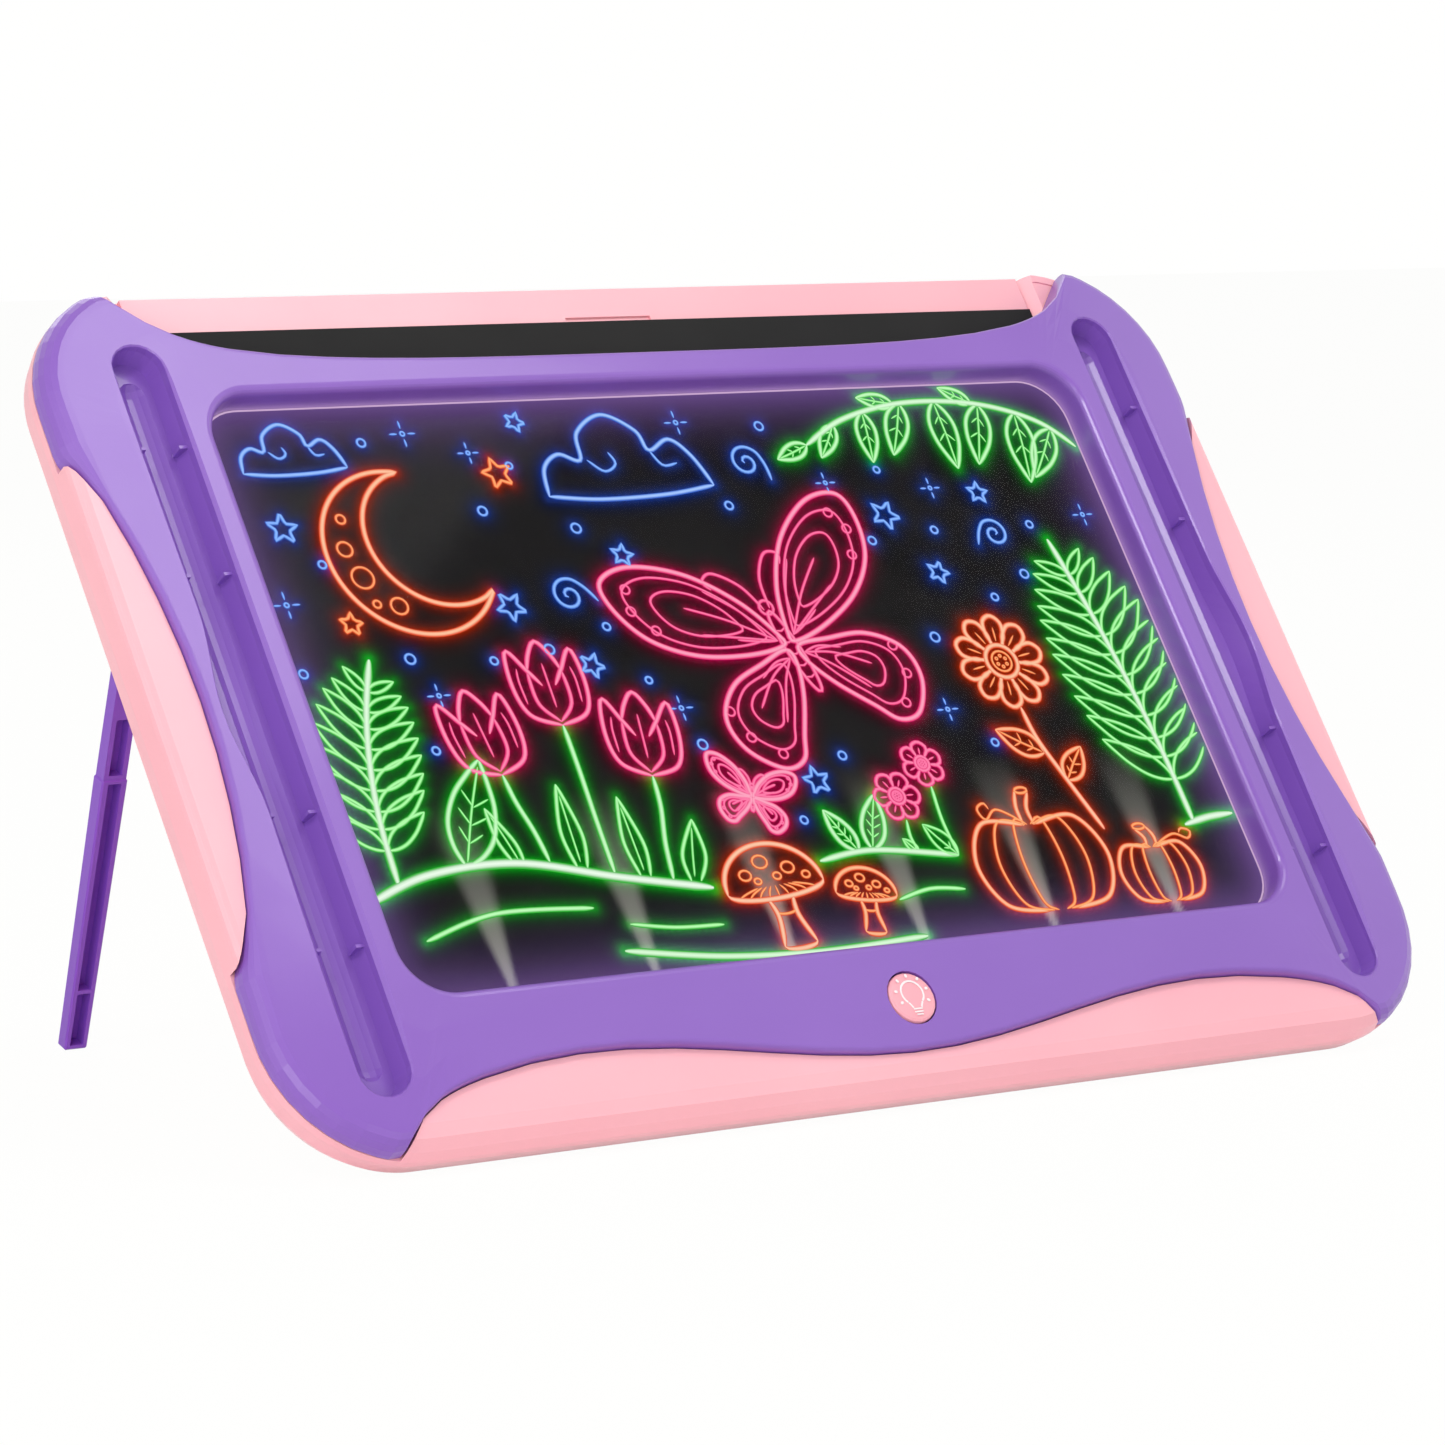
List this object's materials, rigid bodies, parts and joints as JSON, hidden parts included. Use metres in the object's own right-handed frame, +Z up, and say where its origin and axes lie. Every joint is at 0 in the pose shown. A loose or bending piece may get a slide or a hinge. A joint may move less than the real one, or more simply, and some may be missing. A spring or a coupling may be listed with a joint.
{
  "type": "led writing board",
  "caption": "Edge-lit drawing panel in a two-shell case with pen trays, a slide-out backing sheet, a push button and two folding legs.",
  "frame": {"origin": "middle of the footprint on the surface that the board stands on, at rest on its opened legs", "axes": "+X to the board's right seen from the front, +Y from its front to its back, +Z up"},
  "size_m": [0.328, 0.185, 0.1851],
  "materials": {
    "purple_plastic": "semi-gloss moulded plastic, fine sheen",
    "pink_plastic": "semi-gloss moulded plastic",
    "clear_acrylic": "polished clear acrylic sheet",
    "black_sheet": "matt black plastic sheet",
    "green_circuit_board": "solder-masked laminate",
    "white_circuit_board": "white-masked laminate",
    "led_lens": "moulded lens",
    "screw_steel": "zinc plated",
    "contact_steel": "nickel plated",
    "cell_jacket": "printed metal jacket",
    "black_plastic": "moulded black plastic",
    "white_plastic": "moulded white plastic",
    "battery_wire_red": "insulated wire",
    "battery_wire_black": "insulated wire"
  },
  "bodies": {
    "case": {"battery_cell_1": "cell_jacket", "battery_cell_2": "cell_jacket", "battery_cell_3": "cell_jacket", "battery_wire_black": "battery_wire_black", "battery_wire_red": "battery_wire_red", "board_screw_1": "screw_steel", "board_screw_2": "screw_steel", "case_screw_1": "screw_steel", "case_screw_2": "screw_steel", "case_screw_3": "screw_steel", "case_screw_4": "screw_steel", "case_screw_5": "screw_steel", "case_screw_6": "screw_steel", "contact_plate_1": "contact_steel", "contact_plate_2": "contact_steel", "contact_plate_3": "contact_steel", "contact_spring_1": "contact_steel", "contact_spring_2": "contact_steel", "contact_spring_3": "contact_steel", "controller_chip": "black_plastic", "drawing_panel": "clear_acrylic", "front_frame": "purple_plastic", "led_1": "led_lens", "led_2": "led_lens", "led_3": "led_lens", "led_4": "led_lens", "led_5": "led_lens", "led_6": "led_lens", "led_board": "white_circuit_board", "led_wire_black": "battery_wire_black", "led_wire_red": "battery_wire_red", "leg_pin_left": "screw_steel", "leg_pin_right": "screw_steel", "main_board": "green_circuit_board", "rear_shell": "pink_plastic", "sheet_backplate": "pink_plastic", "switch_body": "black_plastic"},
    "leg_left": {"leg_left": "purple_plastic"},
    "leg_right": {"leg_right": "purple_plastic"},
    "backing_sheet": {"backing_sheet": "black_sheet"},
    "power_button": {"power_button": "pink_plastic"},
    "switch_plunger": {"switch_plunger": "white_plastic"},
    "battery_cover": {"battery_cover": "pink_plastic", "cover_screw": "screw_steel"}
  },
  "joints": [
    {"name": "leg_left_hinge", "type": "hinge", "parent": "case", "child": "leg_left", "pos_m": [-0.12, 0.04078, 0.16349], "axis": [1, 0, 0], "range_deg": [-53, 0]},
    {"name": "leg_right_hinge", "type": "hinge", "parent": "case", "child": "leg_right", "pos_m": [0.12, 0.04078, 0.16349], "axis": [1, 0, 0], "range_deg": [-53, 0]},
    {"name": "backing_sheet_slide", "type": "slide", "parent": "case", "child": "backing_sheet", "axis": [0, 0.585, 0.8111], "range_m": [0, 0.185]},
    {"name": "power_button_press", "type": "slide", "parent": "case", "child": "power_button", "axis": [0, 0.8111, -0.585], "range_m": [0, 0.001], "stiffness_N_per_m": 500, "springref_m": -0.0008},
    {"name": "switch_plunger_press", "type": "slide", "parent": "case", "child": "switch_plunger", "axis": [0, 0.8111, -0.585], "range_m": [0, 0.001]},
    {"name": "battery_cover_slide", "type": "slide", "parent": "case", "child": "battery_cover", "axis": [0, 0.8111, -0.585], "range_m": [0, 0.02]}
  ],
  "couplings": [
    {"joint": "switch_plunger_press", "follows": "power_button_press", "ratio": 1}
  ]
}
